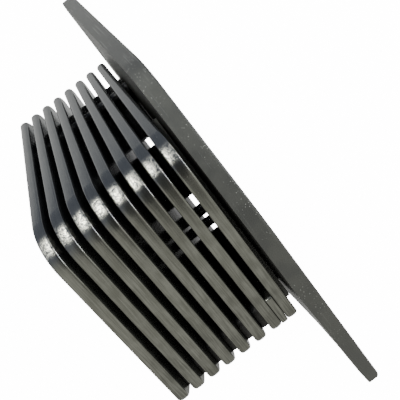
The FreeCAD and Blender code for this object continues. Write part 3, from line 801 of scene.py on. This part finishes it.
# %% The rib tree and the pad
def pad_tree(finish):
    graph, given = open_tree("ribbed_pad", ("Rib Radius", "Rib Length", "Length", "Sheet", "Slope"), ["Ribs"])
    extent = graph.node("ShaderNodeCombineXYZ", {}, {
        0: given["Rib Length"], 1: given["Length"], 2: given["Sheet"]})
    sheet = graph.node("GeometryNodeMeshCube", {}, {"Size": extent})
    rib = graph.node("GeometryNodeMeshCylinder", {}, {
        "Vertices": 20, "Side Segments": 1, "Radius": given["Rib Radius"], "Depth": given["Rib Length"]})
    laid = graph.node("GeometryNodeTransform", {}, {"Geometry": rib, "Rotation": (0, math.pi / 2, 0)})
    reach = given["Length"] - given["Rib Radius"] * 2
    start = graph.node("ShaderNodeCombineXYZ", {}, {1: reach * 0.5, 2: given["Sheet"] * -0.5})
    step = graph.node("ShaderNodeCombineXYZ", {}, {1: 0 - reach / (given["Ribs"] - 1)})
    line = graph.node("GeometryNodeMeshLine", {}, {"Count": given["Ribs"], "Start Location": start,
                                                   "Offset": step})
    ribs = graph.node("GeometryNodeInstanceOnPoints", {}, {"Points": line, "Instance": laid})
    tilt = graph.node("ShaderNodeCombineXYZ", {}, {0: given["Slope"]})
    sloped = graph.node("GeometryNodeTransform", {}, {
        "Geometry": joined(graph, sheet, ribs), "Rotation": tilt})
    placed = graph.node("GeometryNodeInstanceOnPoints", {}, {"Points": given["Geometry"], "Instance": sloped})
    return close_tree(graph, placed, finish)


tab_rise, tab_run = 1.09, 6.0
pad = grow("ribbed_pad", points_mesh("pad_foot", [(CLIP_X, -29.4, 1.07)]), pad_tree(pad_rubber), pad_rubber,
           Rib_Radius=0.20 * MM, Rib_Length=10.0 * MM, Length=4.6 * MM, Sheet=0.26 * MM,
           Slope=-math.atan2(tab_rise, tab_run), Ribs=7)
round_edges(pad.data, 0.05, 2)
hand_over(settle_normals(pad), ["clip_pad"], body="clip")

# %% [markdown]
# ## Floor, light and camera
# The comb stands on a plain white surface under a large soft light. A glossy part shows the room more than
# it shows its own colour, so the room matters: it is brightest and warmest behind the comb, a little cooler
# in front, and dark straight overhead. The dark patch is what draws the dark band across each knee. A
# gradient by direction in the world's shader gives such a room. Two small soft lamps add the highlights.
#
# The surface has two strengths of glow. Seen directly it is plain white. Seen by the comb, in its
# reflections and as bounced light, it is far dimmer, because a floor that white would fill the gaps
# between the leaves with light.

# %% The surface under the comb
def make_studio_floor():
    low = cad_box[0][2]
    mesh = bpy.data.meshes.new("studio_floor")
    mesh.from_pydata([(-1, -1, low), (1, -1, low), (1, 1, low), (-1, 1, low)], [], [(0, 1, 2, 3)])
    paint, graph = new_finish("studio_white")
    to_comb, to_eye = [graph.node("ShaderNodeBsdfPrincipled", {}, {
        "Base Color": (0.60, 0.60, 0.60, 1), "Roughness": 0.9, "Emission Color": (1, 1, 1, 1),
        "Emission Strength": glow}) for glow in (0.40, 14.40)]
    seen = graph.node("ShaderNodeLightPath", output=0)
    surface = graph.node("ShaderNodeMixShader", {}, {0: seen, 1: to_comb, 2: to_eye})
    graph.node("ShaderNodeOutputMaterial", {}, {"Surface": surface})
    return as_piece("studio_floor", mesh, paint)


studio_floor = make_studio_floor()


# %% The room
def make_room():
    world = bpy.data.worlds.new("soft_room")
    world.use_nodes = True
    bpy.context.scene.world = world
    graph = Graph(world.node_tree)
    way = graph.node("ShaderNodeTexCoord", output=0)
    y = graph.node("ShaderNodeSeparateXYZ", {}, {0: way}, output=1)
    z = graph.node("ShaderNodeSeparateXYZ", {}, {0: way}, output=2)
    height = graph.node("ShaderNodeValToRGB", {"stops": [
        (0.0, 0.85), (0.50, 0.80), (0.66, 0.9), (0.90, 0.9), (0.955, 0.10), (0.975, 0.02)]}, {0: z})
    front = above(graph, y, -0.10, 0.25)
    tint = blend_colours(graph, front, (1.42, 1.40, 1.28), (0.90, 0.95, 1.05))
    light = graph.node("ShaderNodeMix", {"data_type": "RGBA", "blend_type": "MULTIPLY"},
                       {0: 1.0, 6: height, 7: tint}, output=2)
    sky = graph.node("ShaderNodeBackground", {}, {"Color": light, "Strength": 1.0})
    graph.node("ShaderNodeOutputWorld", {}, {"Surface": sky})


make_room()


# %% Lamps
def soft_lamp(name, place, size, power, colour):
    """An oblong soft light at a place in metres, turned towards the comb."""
    light = bpy.data.lights.new(name, "AREA")
    light.shape, light.energy, light.color = "RECTANGLE", power, colour
    light.size, light.size_y = size
    lamp = bpy.data.objects.new(name, light)
    bpy.context.scene.collection.objects.link(lamp)
    lamp.location = place
    lamp.rotation_euler = (-Vector(place)).to_track_quat("-Z", "Y").to_euler()


soft_lamp("front_softbox", (-0.13, 0.255, 0.385), (0.14, 0.12), 1.6, (1.0, 1.0, 0.90))
soft_lamp("side_softbox", (0.42, 0.05, 0.20), (0.12, 0.12), 1.2, (0.97, 0.98, 1.0))

# %% The camera
view = bpy.data.cameras.new("close_view")
view.lens, view.sensor_width = 23.4, 36
view.clip_start, view.clip_end = 0.001, 10
eye = bpy.data.objects.new("close_view", view)
bpy.context.scene.collection.objects.link(eye)
eye.location = (0.0066, -0.00708, 0.0504)
eye.rotation_euler = (0, 0, math.radians(-37.6))
bpy.context.scene.camera = eye
